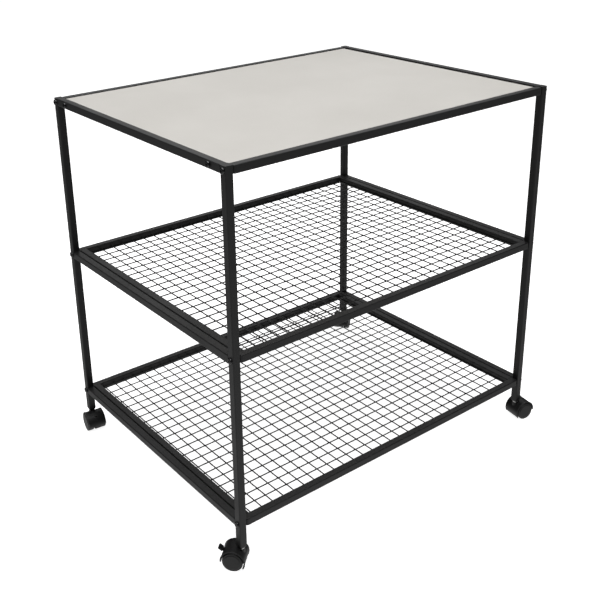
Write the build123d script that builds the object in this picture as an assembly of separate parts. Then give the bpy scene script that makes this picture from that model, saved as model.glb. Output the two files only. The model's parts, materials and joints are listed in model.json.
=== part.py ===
from build123d import *

import os
from math import cos, radians, sin

# Mobile printer stand, in millimetres. +Z is up, X runs along the long side and -Y is the front.
# The origin is on the floor, in the middle of the four legs.

# Overall size
WIDTH = 785.0  # over the outer faces of the legs
DEPTH = 600.0
HEIGHT = 770.0  # floor to the top of the legs
MIDDLE_TOP = 436.0  # top faces of the two shelf frames
BOTTOM_TOP = 102.0
LEG_BOTTOM = 46.0

# Square steel tube
TUBE = 15.0
WALL = 1.2
EDGE = 1.8  # radius along the tube's edges
BAR_CORNER = 6.0  # outer corners of the shelf frames, seen from above
END_BLOCK = 17.0  # solid end of a bar, which holds the threaded insert
LEG_CAP = 1.5  # plate that closes the top of a leg
FRAME_GAP = 1.4  # between a side rail and the end bar beside it

# Top panel and what holds it
BAR_RECESS = 1.0  # top front and rear bars, below the tops of the legs
PANEL_THICKNESS = 10.0
PANEL_RECESS = 3.0  # panel's face, below the tops of the legs
PANEL_END_GAP = 4.0  # from the panel's end to the side rail
PANEL_SIDE_GAP = 0.5  # from the panel's edge to the front or rear bar
LEDGE_UPRIGHT = 3.0
LEDGE_HEIGHT = 11.0
LEDGE_FLANGE = 20.0
LEDGE_SHEET = 2.0
TAB_LENGTH = 30.0
TAB_REACH = 20.0
TAB_CHAMFER = 4.0
TAB_PLACES = (-230.0, 0.0, 230.0)

# Wire mesh
WIRE = 2.5
PITCH = 25.4
LONG_WIRES = 23  # they run along X
CROSS_WIRES = 29  # they run along Y, on top of the long wires
FIRST_CROSS_WIRE = -351.5
WIRE_LIFT = 1.8  # centre of the long wires above the underside of the frame
MESH_SHIFT = {"middle": 3.5, "bottom": 1.9}  # how far each mesh sits to the rear of the middle

# Fasteners
BOLT_RADIUS = 3.0
BOLT_HOLE = 3.3
HEAD_RADIUS = 6.0
HEAD_HEIGHT = 3.4
HEAD_ROUND = 2.4
SOCKET_ACROSS = 4.0
SOCKET_DEPTH = 1.6
INSERT_RADIUS = 4.0
INSERT_LENGTH = 13.0
INSERT_SETBACK = 2.0  # from the end of the bar
THREAD_PLAY = 0.05
PRESS_PLAY = 0.02
LEG_BOLT_REACH = 28.0  # from the leg's outer face to the bolt's tip
RAIL_BOLT_REACH = TUBE + LEDGE_UPRIGHT
RAIL_BOLT_Y = 252.5
SCREW_RADIUS = 1.8
SCREW_HEAD = 3.4
SCREW_HEAD_HEIGHT = 1.6
SCREW_BITE = 8.0
SCREW_PLACES = (-200.0, 0.0, 200.0)

# Twin-wheel caster. Its own frame has the swivel axis on Z, and it trails towards +X.
TRAIL = 14.0
WHEEL_RADIUS = 19.5
WHEEL_INNER = 7.2  # wheel's faces, from the caster's middle plane
WHEEL_OUTER = 20.2
WHEEL_DOME = 0.8
DOME_TAPER = 60.0
WHEEL_ROUND = 1.6
WHEEL_HUB = 6.0
WHEEL_RIM = 15.5
WHEEL_HOLLOW = 8.0
WHEEL_BORE_DEPTH = 10.0
AXLE_RADIUS = 2.5
AXLE_LENGTH = 33.0
RUNNING_PLAY = 0.05
HOOD_INNER = 21.3
HOOD_OUTER = 23.0
HOOD_HALF_WIDTH = 19.5
HOOD_REAR_ANGLE = -4.0  # ends of the hood's arc about the axle, from the trailing side over the top
HOOD_FRONT_ANGLE = 212.0
HOOD_ROUND = 0.6
LIP_RADIUS = 23.8  # raised edge on each side of the hood
LIP_WIDTH = 1.6
PEG_HOLE_RADIUS = 1.6  # hole in the hood of a caster that has no lever
PEG_HOLE_ANGLE = 50.0
PEG_HOLE_DEPTH = 7.0
WEB_HALF_WIDTH = 6.4
WEB_LOW = 9.0  # underside of the web above the floor
BOSS_TOP = 38.9
STEM_RADIUS = 4.0
STEM_LOW = 15.0
STEM_HIGH = 76.0
STEM_CHAMFER = 0.6
COLLAR_RADIUS = 5.5
COLLAR_LOW = 39.3
SEAT_RADIUS = 6.6
SOCKET_LOW = 42.3
SOCKET_HIGH = 80.0
SOCKET_TIP = 11.5  # width of the socket's tapered end
SOCKET_PLAY = 0.05

# Brake lever, between the wheels of a caster
BRAKED = ("front_left", "rear_right")
LEVER_PIVOT_REACH = 14.0  # from the axle
LEVER_PIVOT_ANGLE = 20.0
LEVER_PIN_RADIUS = 1.5
LEVER_PIN_LENGTH = 12.0
LEVER_HALF_WIDTH = 3.2
LEVER_LENGTH = 20.5  # from the pivot to the tip
LEVER_ANGLE = 40.0
LEVER_THICKNESS = 3.2
PAD_LENGTH = 9.5
PAD_WIDTH = 12.0
PAD_ROUND = 1.2
SLOT_HALF_WIDTH = 3.8
SLOT_FROM = 2.0  # angles about the axle
SLOT_TO = 40.0
SLOT_INNER = 9.5

CORNERS = {
    "front_left": (-1, -1),
    "front_right": (1, -1),
    "rear_left": (-1, 1),
    "rear_right": (1, 1),
}
# Which way each caster trails as the stand is parked, in degrees from +X
TRAIL_ANGLES = {"front_left": 131.0, "front_right": -11.0, "rear_left": -98.0, "rear_right": -144.0}

LEVELS = {"top": HEIGHT, "middle": MIDDLE_TOP, "bottom": BOTTOM_TOP}
LEG_X = (WIDTH - TUBE) / 2
LEG_Y = (DEPTH - TUBE) / 2
BAR_LENGTH = WIDTH - 2 * TUBE
RAIL_LENGTH = DEPTH - 2 * TUBE
END_BAR_X = WIDTH / 2 - TUBE - FRAME_GAP - TUBE / 2
PANEL_TOP = HEIGHT - PANEL_RECESS
PANEL_LOW = PANEL_TOP - PANEL_THICKNESS
LEDGE_LOW = PANEL_LOW - LEDGE_SHEET
AXLE_Z = WHEEL_RADIUS
CUT = 1.0  # how far a cutting tool runs past a face


def write(name, *solids):
    """Writes one sub-part, which is one solid or a group of separate solids."""
    whole = solids[0] if len(solids) == 1 else Compound(children=list(solids))
    whole.label = name
    export_step(whole, f"parts/{name}.step")


def cylinder_x(radius, start, end):
    """A cylinder along X between two places."""
    return Pos((start + end) / 2, 0, 0) * Rot(0, 90, 0) * Cylinder(radius, abs(end - start))


def cylinder_y(radius, start, end):
    """A cylinder along Y between two places."""
    return Pos(0, (start + end) / 2, 0) * Rot(90, 0, 0) * Cylinder(radius, abs(end - start))


def cylinder_z(radius, low, high):
    """A cylinder along Z between two heights."""
    return Pos(0, 0, (low + high) / 2) * Cylinder(radius, high - low)


def level_height(level):
    """Height of the front and rear bars' centre line at one level."""
    recess = BAR_RECESS if level == "top" else 0
    return LEVELS[level] - recess - TUBE / 2


# Frame tubes


def leg():
    """An upright tube, closed at the top, with a bolt hole right through it at each level."""
    length = HEIGHT - LEG_BOTTOM
    middle = (HEIGHT + LEG_BOTTOM) / 2
    tube = Pos(0, 0, middle) * Box(TUBE, TUBE, length)
    tube = fillet(tube.edges().filter_by(Axis.Z), EDGE)
    bore = TUBE - 2 * WALL
    tube -= Pos(0, 0, middle - LEG_CAP) * Box(bore, bore, length)
    for level in LEVELS:
        tube -= Pos(0, 0, level_height(level)) * cylinder_x(BOLT_HOLE, -TUBE, TUBE)
    return tube


def side_rail(bolted):
    """A tube along Y. The top ones, between the legs, are drilled for the panel's bolts."""
    tube = Box(TUBE, RAIL_LENGTH, TUBE)
    tube = fillet(tube.edges().filter_by(Axis.Y), EDGE)
    bore = TUBE - 2 * WALL
    tube -= Box(bore, RAIL_LENGTH, bore)
    if bolted:
        for y in (-RAIL_BOLT_Y, RAIL_BOLT_Y):
            tube -= Pos(0, y, 0) * cylinder_x(BOLT_HOLE, -TUBE, TUBE)
    return tube


def long_bar():
    """A front bar along X, with rounded outer corners and an insert's bore in each end."""
    plan = Rectangle(BAR_LENGTH, TUBE)
    plan = fillet(plan.vertices().group_by(Axis.Y)[0], BAR_CORNER)
    bar = Pos(0, 0, -TUBE / 2) * extrude(plan, TUBE)
    long_edges = bar.edges().filter_by(Axis.X)
    bar = fillet(long_edges, EDGE)
    bore = TUBE - 2 * WALL
    bar -= Box(BAR_LENGTH - 2 * END_BLOCK, bore, bore)
    depth = INSERT_SETBACK + INSERT_LENGTH
    for end in (-1, 1):
        mouth = end * BAR_LENGTH / 2
        bar -= cylinder_x(INSERT_RADIUS + PRESS_PLAY, mouth, mouth - end * depth)
    return bar


def end_frames():
    """The four legs and the side rails welded between them."""
    for corner, (side_x, side_y) in CORNERS.items():
        write(f"leg_{corner}", Pos(side_x * LEG_X, side_y * LEG_Y, 0) * leg())
    for side, side_x in (("left", -1), ("right", 1)):
        for level, top in LEVELS.items():
            rail = side_rail(bolted=level == "top")
            write(f"side_rail_{side}_{level}", Pos(side_x * LEG_X, 0, top - TUBE / 2) * rail)


def long_bars(level):
    """The front and rear bars of one level. The rear one is the front one turned about."""
    height = level_height(level)
    write(f"{level}_bar_front", Pos(0, -LEG_Y, height) * long_bar())
    write(f"{level}_bar_rear", Pos(0, LEG_Y, height) * Rot(0, 0, 180) * long_bar())


def shelf(level, top):
    """A shelf: a frame of four bars with wire mesh welded low down inside it."""
    long_bars(level)
    for side, side_x in (("left", -1), ("right", 1)):
        bar = Pos(side_x * END_BAR_X, 0, top - TUBE / 2) * side_rail(bolted=False)
        write(f"{level}_bar_{side}", bar)
    reach = END_BAR_X - TUBE / 2
    low = top - TUBE + WIRE_LIFT
    first = MESH_SHIFT[level] - PITCH * (LONG_WIRES - 1) / 2
    long_wires = [
        Pos(0, first + PITCH * i, low) * cylinder_x(WIRE / 2, -reach, reach)
        for i in range(LONG_WIRES)
    ]
    write(f"{level}_mesh_long_wires", *long_wires)
    half = RAIL_LENGTH / 2
    cross_wires = [
        Pos(FIRST_CROSS_WIRE + PITCH * i, 0, low + WIRE) * cylinder_y(WIRE / 2, -half, half)
        for i in range(CROSS_WIRES)
    ]
    write(f"{level}_mesh_cross_wires", *cross_wires)


# Top


def ledge():
    """A right-hand angle strip that carries one end of the panel, with its upright against +X."""
    outer = WIDTH / 2 - TUBE
    centre = LEDGE_LOW + LEDGE_HEIGHT / 2
    upright = Pos(outer - LEDGE_UPRIGHT / 2, 0, centre) * Box(LEDGE_UPRIGHT, RAIL_LENGTH, LEDGE_HEIGHT)
    flange_middle = outer - LEDGE_FLANGE / 2
    flange = Pos(flange_middle, 0, LEDGE_LOW + LEDGE_SHEET / 2) * Box(LEDGE_FLANGE, RAIL_LENGTH, LEDGE_SHEET)
    strip = upright + flange
    for y in (-RAIL_BOLT_Y, RAIL_BOLT_Y):
        hole = cylinder_x(BOLT_RADIUS + PRESS_PLAY, outer - 2 * LEDGE_UPRIGHT, outer + CUT)
        strip -= Pos(0, y, HEIGHT - TUBE / 2) * hole
    for x, y in screw_points(1):
        strip -= Pos(x, y, 0) * cylinder_z(SCREW_RADIUS + PRESS_PLAY, LEDGE_LOW - CUT, PANEL_LOW + CUT)
    return strip


def screw_points(side_x):
    """Where the panel's screws stand in one ledge."""
    x = side_x * (WIDTH / 2 - TUBE - LEDGE_FLANGE / 2 - LEDGE_UPRIGHT)
    return [(x, y) for y in SCREW_PLACES]


def panel():
    """The top panel, drilled from below for its screws."""
    length = BAR_LENGTH - 2 * PANEL_END_GAP
    width = RAIL_LENGTH - 2 * PANEL_SIDE_GAP
    board = Pos(0, 0, PANEL_LOW + PANEL_THICKNESS / 2) * Box(length, width, PANEL_THICKNESS)
    board = fillet(board.edges().filter_by(Axis.Z), EDGE)
    bite = SCREW_BITE + PRESS_PLAY
    for side_x in (-1, 1):
        for x, y in screw_points(side_x):
            board -= Pos(x, y, 0) * cylinder_z(SCREW_RADIUS + PRESS_PLAY, PANEL_LOW, PANEL_LOW + bite)
    return board


def panel_tab(side_y):
    """A small plate on a bar's inner face, under the panel's long edge."""
    y = side_y * (RAIL_LENGTH - TAB_REACH) / 2
    plate = Box(TAB_LENGTH, TAB_REACH, LEDGE_SHEET)
    plate = chamfer(plate.edges().filter_by(Axis.Z).group_by(Axis.Y)[0 if side_y > 0 else -1], TAB_CHAMFER)
    return Pos(0, y, LEDGE_LOW + LEDGE_SHEET / 2) * plate


def top():
    """The top's bars, ledges, tabs and panel."""
    long_bars("top")
    write("top_ledge_right", ledge())
    write("top_ledge_left", Rot(0, 0, 180) * ledge())
    tabs = [Pos(x, 0, 0) * panel_tab(side_y) for x in TAB_PLACES for side_y in (-1, 1)]
    write("panel_tabs", *tabs)
    write("top_panel", panel())


# Fasteners


def bolt(reach):
    """A button-head bolt along X. Its head sits on X = 0, and its shank runs towards -X."""
    head = cylinder_x(HEAD_RADIUS, 0, HEAD_HEIGHT)
    rim = head.edges().filter_by(GeomType.CIRCLE).sort_by(Axis.X)[-1]
    head = fillet(rim, HEAD_ROUND)
    key = RegularPolygon(SOCKET_ACROSS / 2, 6, major_radius=False)
    recess = Pos(HEAD_HEIGHT - SOCKET_DEPTH, 0, 0) * Rot(0, 90, 0) * extrude(key, SOCKET_DEPTH + CUT)
    return head + cylinder_x(BOLT_RADIUS, 0, -reach) - recess


def insert():
    """A threaded bush along X that fills the bore in a bar's end. Its outer end is at X = 0."""
    bush = cylinder_x(INSERT_RADIUS, 0, -INSERT_LENGTH)
    return bush - cylinder_x(BOLT_RADIUS + THREAD_PLAY, CUT, -INSERT_LENGTH - CUT)


def facing(side_x, x, y, z):
    """Puts a thing made along X at a place, turned about on the left."""
    return Pos(side_x * x, y, z) * Rot(0, 0, 0 if side_x > 0 else 180)


def fasteners():
    """The leg bolts and their inserts, the rail bolts and the panel's screws."""
    for level in LEVELS:
        z = level_height(level)
        places = [(side_x, side_y * LEG_Y) for side_x, side_y in CORNERS.values()]
        bolts = [facing(sx, WIDTH / 2, y, z) * bolt(LEG_BOLT_REACH) for sx, y in places]
        write(f"leg_bolts_{level}", *bolts)
        inner = WIDTH / 2 - TUBE - INSERT_SETBACK
        write(f"threaded_inserts_{level}", *[facing(sx, inner, y, z) * insert() for sx, y in places])
    z = HEIGHT - TUBE / 2
    sides = [(sx, y) for sx in (-1, 1) for y in (-RAIL_BOLT_Y, RAIL_BOLT_Y)]
    write("rail_bolts", *[facing(sx, WIDTH / 2, y, z) * bolt(RAIL_BOLT_REACH) for sx, y in sides])
    screw = cylinder_z(SCREW_RADIUS, LEDGE_LOW, PANEL_LOW + SCREW_BITE)
    head = cylinder_z(SCREW_HEAD, LEDGE_LOW - SCREW_HEAD_HEIGHT, LEDGE_LOW)
    head = fillet(head.edges().filter_by(GeomType.CIRCLE).sort_by(Axis.Z)[0], SCREW_HEAD_HEIGHT / 2)
    points = screw_points(-1) + screw_points(1)
    write("panel_screws", *[Pos(x, y, 0) * (screw + head) for x, y in points])


# Casters


def leg_socket():
    """The plug in a leg's lower end, with a tapered tip and a bore for the stem."""
    side = TUBE - 2 * (WALL + SOCKET_PLAY)
    plug = Pos(0, 0, (LEG_BOTTOM + SOCKET_HIGH) / 2) * Box(side, side, SOCKET_HIGH - LEG_BOTTOM)
    lower = Plane.XY.offset(SOCKET_LOW) * RectangleRounded(SOCKET_TIP, SOCKET_TIP, EDGE)
    upper = Plane.XY.offset(LEG_BOTTOM) * RectangleRounded(TUBE, TUBE, EDGE)
    tip = loft(Sketch() + [lower, upper])
    return plug + tip - cylinder_z(STEM_RADIUS + PRESS_PLAY, SOCKET_LOW - CUT, SOCKET_HIGH + CUT)


def stem():
    """The steel stem that the caster swivels on, with its collar."""
    pin = cylinder_z(STEM_RADIUS, STEM_LOW, STEM_HIGH)
    pin = chamfer(pin.edges().filter_by(GeomType.CIRCLE), STEM_CHAMFER)
    return pin + cylinder_z(COLLAR_RADIUS, COLLAR_LOW, SOCKET_LOW)


def at_axle(shape):
    """Moves a thing made about the Y axis to the caster's axle."""
    return Pos(TRAIL, 0, AXLE_Z) * shape


def sector(inner, outer, start, end, half_width):
    """Part of a ring about the Y axis. Angles run from +X over the top."""
    ring = Plane.XZ * (Circle(outer) - Circle(inner))
    spread = 2 * outer
    points = [(0, 0)]
    steps = 4
    for i in range(steps + 1):
        angle = radians(start + (end - start) * i / steps)
        points.append((spread * cos(angle), spread * sin(angle)))
    wedge = Plane.XZ * make_face(Polyline(*points, close=True))
    return extrude(ring & wedge, half_width, both=True)


def crown():
    """The arched cover over both wheels, with a raised edge on each side."""
    ends = (HOOD_REAR_ANGLE, HOOD_FRONT_ANGLE)
    arch = sector(HOOD_INNER, HOOD_OUTER, *ends, HOOD_HALF_WIDTH)
    lips = sector(HOOD_INNER, LIP_RADIUS, *ends, HOOD_HALF_WIDTH)
    lips -= sector(HOOD_INNER - CUT, LIP_RADIUS + CUT, *ends, HOOD_HALF_WIDTH - LIP_WIDTH)
    whole = arch + lips
    rims = whole.edges().filter_by(GeomType.CIRCLE).group_by(SortBy.RADIUS)[-1]
    return at_axle(fillet(rims, HOOD_ROUND))


def hood(with_lever):
    """The caster's body: a web between the wheels, the crown over them and the stem's boss."""
    web = at_axle(cylinder_y(HOOD_OUTER - HOOD_ROUND, -WEB_HALF_WIDTH, WEB_HALF_WIDTH))
    below = Pos(TRAIL, 0, WEB_LOW - HOOD_OUTER) * Box(4 * HOOD_OUTER, 2 * TUBE, 2 * HOOD_OUTER)
    boss = cylinder_z(WEB_HALF_WIDTH, WEB_LOW, BOSS_TOP)
    body = web - below + boss + crown()
    body -= cylinder_z(SEAT_RADIUS, BOSS_TOP, 2 * BOSS_TOP)
    body -= cylinder_z(STEM_RADIUS + RUNNING_PLAY, STEM_LOW - CUT, BOSS_TOP + CUT)
    body -= at_axle(cylinder_y(AXLE_RADIUS + PRESS_PLAY, -TUBE, TUBE))
    if with_lever:
        slot = sector(SLOT_INNER, 2 * HOOD_OUTER, SLOT_FROM, SLOT_TO, SLOT_HALF_WIDTH)
        body -= at_axle(slot)
        body -= lever_pin(LEVER_PIN_RADIUS + RUNNING_PLAY, 2 * TUBE)
    else:
        hole = cylinder_x(PEG_HOLE_RADIUS, LIP_RADIUS - PEG_HOLE_DEPTH, 2 * LIP_RADIUS)
        body -= at_axle(Rot(0, -PEG_HOLE_ANGLE, 0) * hole)
    return body


def wheel():
    """The wheel on the caster's +Y side: a cup with a hub, and a domed outer face."""
    tread = cylinder_y(WHEEL_RADIUS, WHEEL_INNER, WHEEL_OUTER)
    tread = fillet(tread.edges().filter_by(GeomType.CIRCLE), WHEEL_ROUND)
    dome_base = WHEEL_RADIUS - 2 * WHEEL_ROUND
    lift = Plane.XZ.offset(-WHEEL_OUTER) * Circle(dome_base)
    dome = extrude(lift, -WHEEL_DOME, taper=DOME_TAPER)
    hollow = cylinder_y(WHEEL_RIM, WHEEL_INNER - CUT, WHEEL_INNER + WHEEL_HOLLOW)
    hollow -= cylinder_y(WHEEL_HUB, WHEEL_INNER - 2 * CUT, WHEEL_OUTER)
    bore = cylinder_y(AXLE_RADIUS + RUNNING_PLAY, WHEEL_INNER - CUT, WHEEL_INNER + WHEEL_BORE_DEPTH)
    return at_axle(tread + dome - hollow - bore)


def lever_pin(radius, length):
    """The lever's pivot, in the caster's frame."""
    angle = radians(LEVER_PIVOT_ANGLE)
    reach_x = LEVER_PIVOT_REACH * cos(angle)
    reach_z = LEVER_PIVOT_REACH * sin(angle)
    return at_axle(Pos(reach_x, 0, reach_z) * cylinder_y(radius, -length / 2, length / 2))


def brake_lever():
    """The brake lever: a pivot pin, a cam about it, an arm out through the slot and a pad."""
    pin = lever_pin(LEVER_PIN_RADIUS, LEVER_PIN_LENGTH)
    cam = lever_pin(LEVER_THICKNESS, 2 * LEVER_HALF_WIDTH)
    arm = Pos(LEVER_LENGTH / 2, 0, 0) * Box(LEVER_LENGTH, 2 * LEVER_HALF_WIDTH, LEVER_THICKNESS)
    pad = Pos(LEVER_LENGTH - PAD_LENGTH / 2, 0, 0) * Box(PAD_LENGTH, PAD_WIDTH, LEVER_THICKNESS)
    pad = fillet(pad.edges().filter_by(Axis.Z), PAD_ROUND)
    angle = radians(LEVER_PIVOT_ANGLE)
    root = Pos(LEVER_PIVOT_REACH * cos(angle), 0, LEVER_PIVOT_REACH * sin(angle))
    blade = root * Rot(0, -LEVER_ANGLE, 0) * (arm + pad)
    return pin + cam + at_axle(blade)


def casters():
    """Four casters, each parked at its own angle, and their sockets in the legs."""
    places = {name: (sx * LEG_X, sy * LEG_Y) for name, (sx, sy) in CORNERS.items()}
    write("leg_sockets", *[Pos(x, y, 0) * leg_socket() for x, y in places.values()])
    for corner, (x, y) in places.items():
        parked = Pos(x, y, 0) * Rot(0, 0, TRAIL_ANGLES[corner])
        braked = corner in BRAKED
        write(f"caster_{corner}_stem", parked * stem())
        write(f"caster_{corner}_hood", parked * hood(braked))
        axle = at_axle(cylinder_y(AXLE_RADIUS, -AXLE_LENGTH / 2, AXLE_LENGTH / 2))
        write(f"caster_{corner}_axle", parked * axle)
        write(f"caster_{corner}_wheel_left", parked * wheel())
        write(f"caster_{corner}_wheel_right", parked * mirror(wheel(), Plane.XZ))
        if braked:
            write(f"caster_{corner}_brake_lever", parked * brake_lever())


os.makedirs("parts", exist_ok=True)
end_frames()
top()
shelf("middle", MIDDLE_TOP)
shelf("bottom", BOTTOM_TOP)
fasteners()
casters()
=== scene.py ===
import json
import math
import random

import bpy
from mathutils import Matrix, Vector


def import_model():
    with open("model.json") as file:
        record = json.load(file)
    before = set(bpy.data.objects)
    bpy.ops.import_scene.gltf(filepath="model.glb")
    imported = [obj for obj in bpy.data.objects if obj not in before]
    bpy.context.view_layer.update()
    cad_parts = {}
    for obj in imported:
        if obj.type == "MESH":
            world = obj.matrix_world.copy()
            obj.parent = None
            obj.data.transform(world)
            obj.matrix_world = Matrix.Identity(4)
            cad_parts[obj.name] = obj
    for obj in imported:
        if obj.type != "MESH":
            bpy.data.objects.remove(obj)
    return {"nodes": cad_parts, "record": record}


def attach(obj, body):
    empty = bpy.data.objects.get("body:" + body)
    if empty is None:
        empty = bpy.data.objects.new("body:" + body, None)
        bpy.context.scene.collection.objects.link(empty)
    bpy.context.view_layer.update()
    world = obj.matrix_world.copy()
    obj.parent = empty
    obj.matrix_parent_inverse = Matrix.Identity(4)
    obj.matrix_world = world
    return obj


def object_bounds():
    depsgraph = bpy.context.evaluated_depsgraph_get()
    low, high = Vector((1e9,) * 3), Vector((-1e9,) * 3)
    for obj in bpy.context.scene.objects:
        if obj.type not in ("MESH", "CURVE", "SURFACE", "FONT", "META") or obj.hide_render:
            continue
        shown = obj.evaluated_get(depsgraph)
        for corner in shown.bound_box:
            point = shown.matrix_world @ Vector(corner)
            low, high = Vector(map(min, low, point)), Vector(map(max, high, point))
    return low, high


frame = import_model()
cad_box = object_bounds()

# Everything is in metres. +Z is up, X runs along the long side and -Y is the front.

# The stand's own sizes that the added pieces need
TUBE = 0.015
LEG_X = 0.385
LEG_Y = 0.2925
END_BAR_X = 0.3686
BAR_INNER_Y = LEG_Y - TUBE / 2
TOPS = {"top": 0.770, "middle": 0.436, "bottom": 0.102}
WIRE = 0.0025
PITCH = 0.0254
LONG_WIRES = 23
CROSS_WIRES = 29
FIRST_CROSS_WIRE = -0.3515
WIRE_LIFT = 0.0018
MESH_SHIFT = {"middle": 0.0035, "bottom": 0.0019}

# Welds
NUGGET_RADIUS = 0.0015  # lump where two wires cross
NUGGET_HEIGHT = 0.8  # its height, as a share of its width
NUGGET_SWELL = (0.9, 1.15)  # how much one lump may differ from another
DAB = 0.0019  # lump where a wire ends at a bar
DAB_LENGTH = 1.5  # its length along the wire, as a share of its width
DAB_HEIGHT = 0.7
DAB_SWELL = (0.85, 1.2)
LUMP_SIDES = 8
LUMP_RINGS = 4
BEAD_RADIUS = 0.0011
BEAD_TUCK = 0.0004  # how far a bead's centre lies inside the tube's face
BEAD_STEP = 0.0015
BEAD_STUB = 0.004  # short upright run of a bead at the top level
BEAD_SIDES = 8
BEAD_RIPPLE = 0.18  # even part of the unevenness, as a share of the radius
BEAD_RIPPLE_TURN = 2.1
BEAD_CHANCE = 0.08  # random part
BEAD_END = 0.45  # radius at a bead's ends, as a share of the rest

# Camera, about a point half-way up the stand
AZIMUTH = -36.376
ELEVATION = 21.013
ROLL = -1.605
DISTANCE = 1.9958
ASIDE = -0.0901
ABOVE = 0.1128
LENS = 55.66
SENSOR_WIDTH = 36
FAR_LIMIT = 200
SHIFT = (0.07, -0.14)

# Light and backdrop
BACKDROP_RADIUS = 25.0
BACKDROP_TURNS = 48
BACKDROP_RISES = 12
BACKDROP_GLOW = 0.92
LIGHT_AIM = Vector((0, 0, 0.4))
WORLD_STRENGTH = 0.10
BOUNCE_STRENGTH = 0.68
BOUNCE_FULL = -0.6  # directions with this upward part or less see the pale floor in full
BOUNCE_NONE = -0.22  # and with this or more, not at all


# Materials


class Look:
    """A Principled material and short ways to add nodes to it."""

    def __init__(self, name, metallic=0.0, specular=0.5):
        self.material = bpy.data.materials.new(name)
        self.material.use_nodes = True
        self.tree = self.material.node_tree
        self.shader = self.tree.nodes["Principled BSDF"]
        self.shader.inputs["Metallic"].default_value = metallic
        self.shader.inputs["Specular IOR Level"].default_value = specular
        self.place = self.add("ShaderNodeTexCoord").outputs["Object"]

    def add(self, kind, **settings):
        node = self.tree.nodes.new(kind)
        for name, value in settings.items():
            setattr(node, name, value)
        return node

    def link(self, source, target):
        self.tree.links.new(source, target)

    def noise(self, scale, detail=3.0, roughness=0.55, stretch=(1, 1, 1)):
        """Noise with features about 1/scale metres across."""
        mapping = self.add("ShaderNodeMapping")
        mapping.inputs["Scale"].default_value = stretch
        self.link(self.place, mapping.inputs["Vector"])
        node = self.add("ShaderNodeTexNoise")
        node.inputs["Scale"].default_value = scale
        node.inputs["Detail"].default_value = detail
        node.inputs["Roughness"].default_value = roughness
        self.link(mapping.outputs["Vector"], node.inputs["Vector"])
        return node.outputs["Fac"]

    def spread(self, factor, low, high, start=0.3, end=0.7):
        """A number that follows a factor from low to high."""
        node = self.add("ShaderNodeMapRange")
        node.inputs["From Min"].default_value = start
        node.inputs["From Max"].default_value = end
        node.inputs["To Min"].default_value = low
        node.inputs["To Max"].default_value = high
        self.link(factor, node.inputs["Value"])
        return node.outputs["Result"]

    def ramp(self, factor, *stops):
        """A colour that follows a factor through (place, colour) stops."""
        node = self.add("ShaderNodeValToRGB")
        elements = node.color_ramp.elements
        while len(elements) < len(stops):
            elements.new(0.5)
        for element, (place, colour) in zip(elements, stops):
            element.position = place
            element.color = (*colour, 1)
        self.link(factor, node.inputs["Fac"])
        return node.outputs["Color"]

    def colour(self, source):
        self.link(source, self.shader.inputs["Base Color"])

    def rough(self, source):
        self.link(source, self.shader.inputs["Roughness"])

    def bump(self, *layers):
        """Bump layers, each (height, distance in metres, strength)."""
        normal = None
        for height, distance, strength in layers:
            node = self.add("ShaderNodeBump")
            node.inputs["Distance"].default_value = distance
            node.inputs["Strength"].default_value = strength
            self.link(height, node.inputs["Height"])
            if normal:
                self.link(normal, node.inputs["Normal"])
            normal = node.outputs["Normal"]
        self.link(normal, self.shader.inputs["Normal"])


def powder_coat():
    """Satin black powder coat with fine orange peel and a little dust."""
    look = Look("powder_coat", specular=0.5)
    blotch = look.noise(9, detail=4)
    speck = look.noise(900, detail=2)
    look.colour(look.ramp(blotch, (0.25, (0.0125, 0.0125, 0.0130)), (0.75, (0.0165, 0.0165, 0.0170))))
    look.rough(look.spread(blotch, 0.40, 0.50))
    look.bump((look.noise(650, detail=2), 0.00012, 0.35), (speck, 0.00004, 0.3))
    return look.material


def wire_coat():
    """The same coat over drawn wire, a little glossier."""
    look = Look("wire_coat", specular=0.4)
    blotch = look.noise(30, detail=3)
    look.colour(look.ramp(blotch, (0.3, (0.020, 0.020, 0.0205)), (0.7, (0.027, 0.027, 0.0276))))
    look.rough(look.spread(blotch, 0.34, 0.46))
    look.bump((look.noise(900, detail=2), 0.00008, 0.3))
    return look.material


def laminate():
    """Pale warm-grey laminate: a faint cloud, a fine print and a soft pebble grain."""
    look = Look("laminate", specular=0.25)
    cloud = look.noise(3.2, detail=5, roughness=0.6)
    print_grain = look.noise(420, detail=3, roughness=0.7)
    mix = look.add("ShaderNodeMath", operation="MULTIPLY_ADD")
    look.link(print_grain, mix.inputs[0])
    mix.inputs[1].default_value = 0.35
    look.link(cloud, mix.inputs[2])
    shade = look.ramp(mix.outputs[0], (0.35, (0.565, 0.545, 0.510)), (1.0, (0.665, 0.645, 0.610)))
    look.colour(shade)
    look.rough(look.spread(cloud, 0.50, 0.60))
    look.bump((look.noise(1500, detail=2), 0.00005, 0.25))
    return look.material


def moulded(name, dark, light, roughness):
    """Moulded plastic with a fine spark-eroded grain."""
    look = Look(name, specular=0.5)
    blotch = look.noise(60, detail=4)
    look.colour(look.ramp(blotch, (0.3, dark), (0.7, light)))
    look.rough(look.spread(blotch, roughness - 0.05, roughness + 0.07))
    grain = look.noise(1800, detail=2)
    ripple = look.noise(140, detail=3)
    look.bump((grain, 0.00008, 0.4), (ripple, 0.0001, 0.15))
    return look.material


def metal(name, dark, light, roughness):
    """Plated metal with drawn marks along Z and a little tarnish."""
    look = Look(name, metallic=1.0)
    tarnish = look.noise(220, detail=5, roughness=0.65)
    look.colour(look.ramp(tarnish, (0.3, dark), (0.7, light)))
    look.rough(look.spread(tarnish, roughness - 0.08, roughness + 0.1))
    look.bump((look.noise(500, detail=3, stretch=(6, 6, 0.6)), 0.00005, 0.3))
    return look.material


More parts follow.
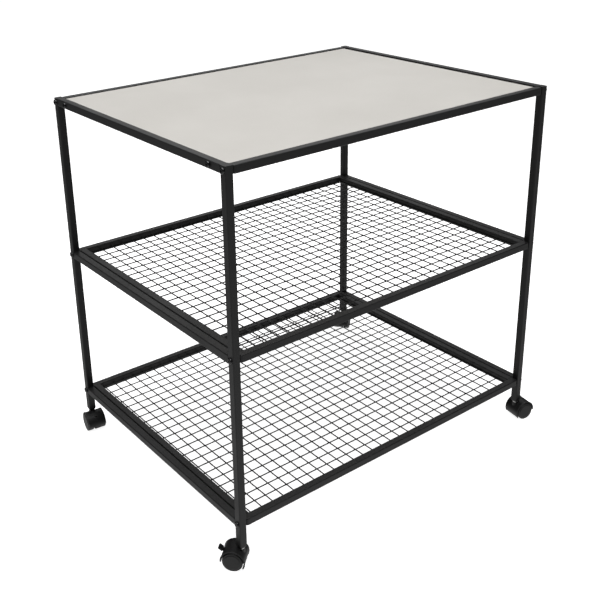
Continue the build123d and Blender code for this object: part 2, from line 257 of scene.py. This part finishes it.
MATERIALS = {
    "powder_coated_tube": powder_coat(),
    "coated_wire": wire_coat(),
    "laminate_panel": laminate(),
    "caster_plastic": moulded("caster_plastic", (0.0090, 0.0090, 0.0093), (0.0130, 0.0130, 0.0134), 0.42),
    "wheel_nylon": moulded("wheel_nylon", (0.0100, 0.0100, 0.0100), (0.0140, 0.0140, 0.0140), 0.40),
    "socket_plastic": moulded("socket_plastic", (0.0100, 0.0100, 0.0103), (0.0140, 0.0140, 0.0144), 0.5),
    "bright_steel": metal("bright_steel", (0.50, 0.50, 0.49), (0.66, 0.66, 0.65), 0.28),
    "black_fastener": metal("black_fastener", (0.055, 0.055, 0.056), (0.095, 0.095, 0.097), 0.20),
    "zinc_fastener": metal("zinc_fastener", (0.45, 0.46, 0.46), (0.60, 0.60, 0.58), 0.34),
    "insert_brass": metal("insert_brass", (0.42, 0.31, 0.12), (0.58, 0.44, 0.20), 0.32),
}


def dress_nodes():
    """Gives every CAD node the material of its slot in the record."""
    slots = {entry["node"]: entry["material_slot"] for entry in frame["record"]["subparts"]}
    for name, node in frame["nodes"].items():
        material = MATERIALS[slots[name]]
        for slot in node.material_slots:
            slot.material = material


dress_nodes()


# Welds, which ride on the frame


class Shell:
    """Vertices and faces of one added piece."""

    def __init__(self):
        self.corners = []
        self.faces = []

    def skin(self, rings, closed):
        """Joins rings of equal length, and closes the ends unless the last ring meets the first."""
        start, count, sides = len(self.corners), len(rings), len(rings[0])
        for ring in rings:
            self.corners += [tuple(point) for point in ring]
        for i in range(count if closed else count - 1):
            low, high = start + i * sides, start + (i + 1) % count * sides
            for j in range(sides):
                after = (j + 1) % sides
                self.faces.append((low + j, low + after, high + after, high + j))
        if not closed:
            last = start + (count - 1) * sides
            self.faces.append(tuple(range(start + sides - 1, start - 1, -1)))
            self.faces.append(tuple(range(last, last + sides)))

    def blob(self, centre, radii):
        """A small rounded lump."""
        x, y, z = centre
        layers = []
        for i in range(LUMP_RINGS):
            tilt = math.pi * (i + 0.5) / LUMP_RINGS - math.pi / 2
            level = z + radii[2] * math.sin(tilt)
            reach = math.cos(tilt)
            layers.append(
                [
                    (
                        x + radii[0] * reach * math.cos(2 * math.pi * j / LUMP_SIDES),
                        y + radii[1] * reach * math.sin(2 * math.pi * j / LUMP_SIDES),
                        level,
                    )
                    for j in range(LUMP_SIDES)
                ]
            )
        self.skin(layers, closed=False)

    def bead(self, path, radius, chance):
        """A rippled weld bead along a path of points."""
        rings = []
        for i, point in enumerate(path):
            before, after = Vector(path[max(i - 1, 0)]), Vector(path[min(i + 1, len(path) - 1)])
            along = (after - before).normalized()
            side = along.orthogonal().normalized()
            other = along.cross(side)
            ripple = 1 + BEAD_RIPPLE * math.sin(i * BEAD_RIPPLE_TURN)
            ripple += chance.uniform(-BEAD_CHANCE, BEAD_CHANCE)
            taper = BEAD_END if i in (0, len(path) - 1) else 1.0
            reach = radius * ripple * taper
            rings.append(
                [
                    Vector(point)
                    + side * reach * math.cos(2 * math.pi * j / BEAD_SIDES)
                    + other * reach * math.sin(2 * math.pi * j / BEAD_SIDES)
                    for j in range(BEAD_SIDES)
                ]
            )
        self.skin(rings, closed=False)

    def piece(self, name, material):
        """Makes the object, smooth-shaded, riding on the frame."""
        mesh = bpy.data.meshes.new(name)
        mesh.from_pydata(self.corners, [], self.faces)
        mesh.shade_smooth()
        mesh.materials.append(material)
        made = bpy.data.objects.new(name, mesh)
        bpy.context.scene.collection.objects.link(made)
        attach(made, "frame")
        return made


def walk(stops, step):
    """Points along straight runs between stops, about a step apart."""
    points = [Vector(stops[0])]
    for start, end in zip(stops, stops[1:]):
        start, end = Vector(start), Vector(end)
        count = max(1, round((end - start).length / step))
        points += [start.lerp(end, (i + 1) / count) for i in range(count)]
    return points


def mesh_welds(level, chance):
    """The nuggets where the wires cross, and the dabs where their ends meet the bars."""
    shell = Shell()
    low = TOPS[level] - TUBE + WIRE_LIFT
    first = MESH_SHIFT[level] - PITCH * (LONG_WIRES - 1) / 2
    long_rows = [first + PITCH * i for i in range(LONG_WIRES)]
    cross_rows = [FIRST_CROSS_WIRE + PITCH * i for i in range(CROSS_WIRES)]
    for x in cross_rows:
        for y in long_rows:
            swell = chance.uniform(*NUGGET_SWELL)
            radii = (NUGGET_RADIUS * swell, NUGGET_RADIUS * swell, NUGGET_RADIUS * NUGGET_HEIGHT)
            shell.blob((x, y, low + WIRE / 2), radii)
    end_x = END_BAR_X - TUBE / 2
    for y in long_rows:
        for side in (-1, 1):
            swell = chance.uniform(*DAB_SWELL)
            radii = (DAB * DAB_LENGTH, DAB * swell, DAB * DAB_HEIGHT)
            shell.blob((side * end_x, y, low), radii)
    for x in cross_rows:
        for side in (-1, 1):
            swell = chance.uniform(*DAB_SWELL)
            radii = (DAB * swell, DAB * DAB_LENGTH, DAB)
            shell.blob((x, side * BAR_INNER_Y, low + WIRE), radii)
    shell.piece(f"{level}_mesh_welds", MATERIALS["coated_wire"])


def frame_welds(chance):
    """Beads where the side rails and the shelf frames' end bars meet what they are welded to."""
    shell = Shell()
    half = TUBE / 2 - BEAD_TUCK
    for level, top in TOPS.items():
        for side_x in (-1, 1):
            for side_y in (-1, 1):
                y = side_y * BAR_INNER_Y
                inner = side_x * (LEG_X - half)
                outer = side_x * (LEG_X + half)
                low, high = top - TUBE + BEAD_TUCK, top - TUBE / 2
                stops = [(outer, y, low), (inner, y, low), (inner, y, high)]
                if level == "top":
                    stops[2] = (inner, y, low + BEAD_STUB)
                shell.bead(walk(stops, BEAD_STEP), BEAD_RADIUS, chance)
                if level == "top":
                    continue
                inner = side_x * (END_BAR_X - half)
                outer = side_x * (END_BAR_X + half)
                stops = [(outer, y, low), (inner, y, low), (inner, y, high)]
                shell.bead(walk(stops, BEAD_STEP), BEAD_RADIUS, chance)
    shell.piece("frame_weld_beads", MATERIALS["powder_coated_tube"])


weld_chance = random.Random(7)
mesh_welds("middle", weld_chance)
mesh_welds("bottom", weld_chance)
frame_welds(weld_chance)


# Floor, light and camera


def backdrop():
    """A plain pale floor that curves up all round into a plain pale dome."""
    look = Look("backdrop", specular=0.1)
    cloud = look.noise(1.5, detail=3)
    look.colour(look.ramp(cloud, (0.3, (0.90, 0.90, 0.90)), (0.7, (0.92, 0.92, 0.92))))
    look.rough(look.spread(cloud, 0.75, 0.85))
    look.shader.inputs["Emission Color"].default_value = (1, 1, 1, 1)
    look.shader.inputs["Emission Strength"].default_value = BACKDROP_GLOW
    turns, rises = BACKDROP_TURNS, BACKDROP_RISES
    corners = []
    for rise in range(rises):
        angle = math.radians(90 * rise / rises)
        for turn in range(turns):
            around = math.radians(360 * turn / turns)
            radius = BACKDROP_RADIUS * math.cos(angle)
            corners.append(
                (radius * math.cos(around), radius * math.sin(around), BACKDROP_RADIUS * math.sin(angle))
            )
    corners.append((0, 0, BACKDROP_RADIUS))
    faces = [tuple(range(turns))]
    for rise in range(rises - 1):
        for turn in range(turns):
            after = (turn + 1) % turns
            low, high = rise * turns, (rise + 1) * turns
            faces.append((low + turn, high + turn, high + after, low + after))
    last = (rises - 1) * turns
    faces += [(last + turn, len(corners) - 1, last + (turn + 1) % turns) for turn in range(turns)]
    mesh = bpy.data.meshes.new("backdrop")
    mesh.from_pydata(corners, [], faces)
    mesh.materials.append(look.material)
    piece = bpy.data.objects.new("backdrop", mesh)
    piece.visible_diffuse = False
    piece.visible_glossy = False
    piece.visible_shadow = False
    bpy.context.scene.collection.objects.link(piece)


def soft_box(name, place, size, power):
    """A large soft area light that points at the middle of the stand."""
    data = bpy.data.lights.new(name, "AREA")
    data.shape = "RECTANGLE"
    data.size, data.size_y = size
    data.energy = power
    lamp = bpy.data.objects.new(name, data)
    lamp.location = place
    lamp.rotation_euler = (LIGHT_AIM - Vector(place)).to_track_quat("-Z", "Y").to_euler()
    bpy.context.scene.collection.objects.link(lamp)


def world():
    """A dim white surround, brighter from below, where a pale floor sends light up."""
    surround = bpy.data.worlds.new("surround")
    surround.use_nodes = True
    back = surround.node_tree.nodes["Background"]
    back.inputs["Color"].default_value = (1, 1, 1, 1)
    tree = surround.node_tree
    direction = tree.nodes.new("ShaderNodeTexCoord")
    split = tree.nodes.new("ShaderNodeSeparateXYZ")
    rise = tree.nodes.new("ShaderNodeMapRange")
    rise.inputs["From Min"].default_value = BOUNCE_FULL
    rise.inputs["From Max"].default_value = BOUNCE_NONE
    rise.inputs["To Min"].default_value = BOUNCE_STRENGTH
    rise.inputs["To Max"].default_value = WORLD_STRENGTH
    tree.links.new(direction.outputs["Generated"], split.inputs[0])
    tree.links.new(split.outputs["Z"], rise.inputs["Value"])
    tree.links.new(rise.outputs["Result"], back.inputs["Strength"])
    bpy.context.scene.world = surround


def camera():
    """The camera, at the front left and above."""
    azimuth = math.radians(AZIMUTH)
    elevation = math.radians(ELEVATION)
    level = math.cos(elevation)
    back = Vector((math.sin(azimuth) * level, -math.cos(azimuth) * level, math.sin(elevation)))
    right = (-back).cross(Vector((0, 0, 1))).normalized()
    up = right.cross(-back)
    low, high = Vector(cad_box[0]), Vector(cad_box[1])
    centre = Vector((0, 0, (low.z + high.z) / 2))
    place = centre + right * ASIDE + up * ABOVE + back * DISTANCE
    turn = Matrix((right, up, back)).transposed()
    turn = turn @ Matrix.Rotation(math.radians(ROLL), 3, "Z")
    data = bpy.data.cameras.new("camera")
    data.lens = LENS
    data.sensor_width = SENSOR_WIDTH
    data.shift_x, data.shift_y = SHIFT
    data.clip_end = FAR_LIMIT
    view = bpy.data.objects.new("camera", data)
    view.matrix_world = Matrix.Translation(place) @ turn.to_4x4()
    bpy.context.scene.collection.objects.link(view)
    bpy.context.scene.camera = view
    bpy.context.scene.view_settings.view_transform = "Standard"


backdrop()
world()
soft_box("top", (-0.3, -0.2, 3.4), (3.0, 3.0), 96)
soft_box("rim", (2.3, 3.0, 2.3), (3.0, 1.8), 13)
camera()
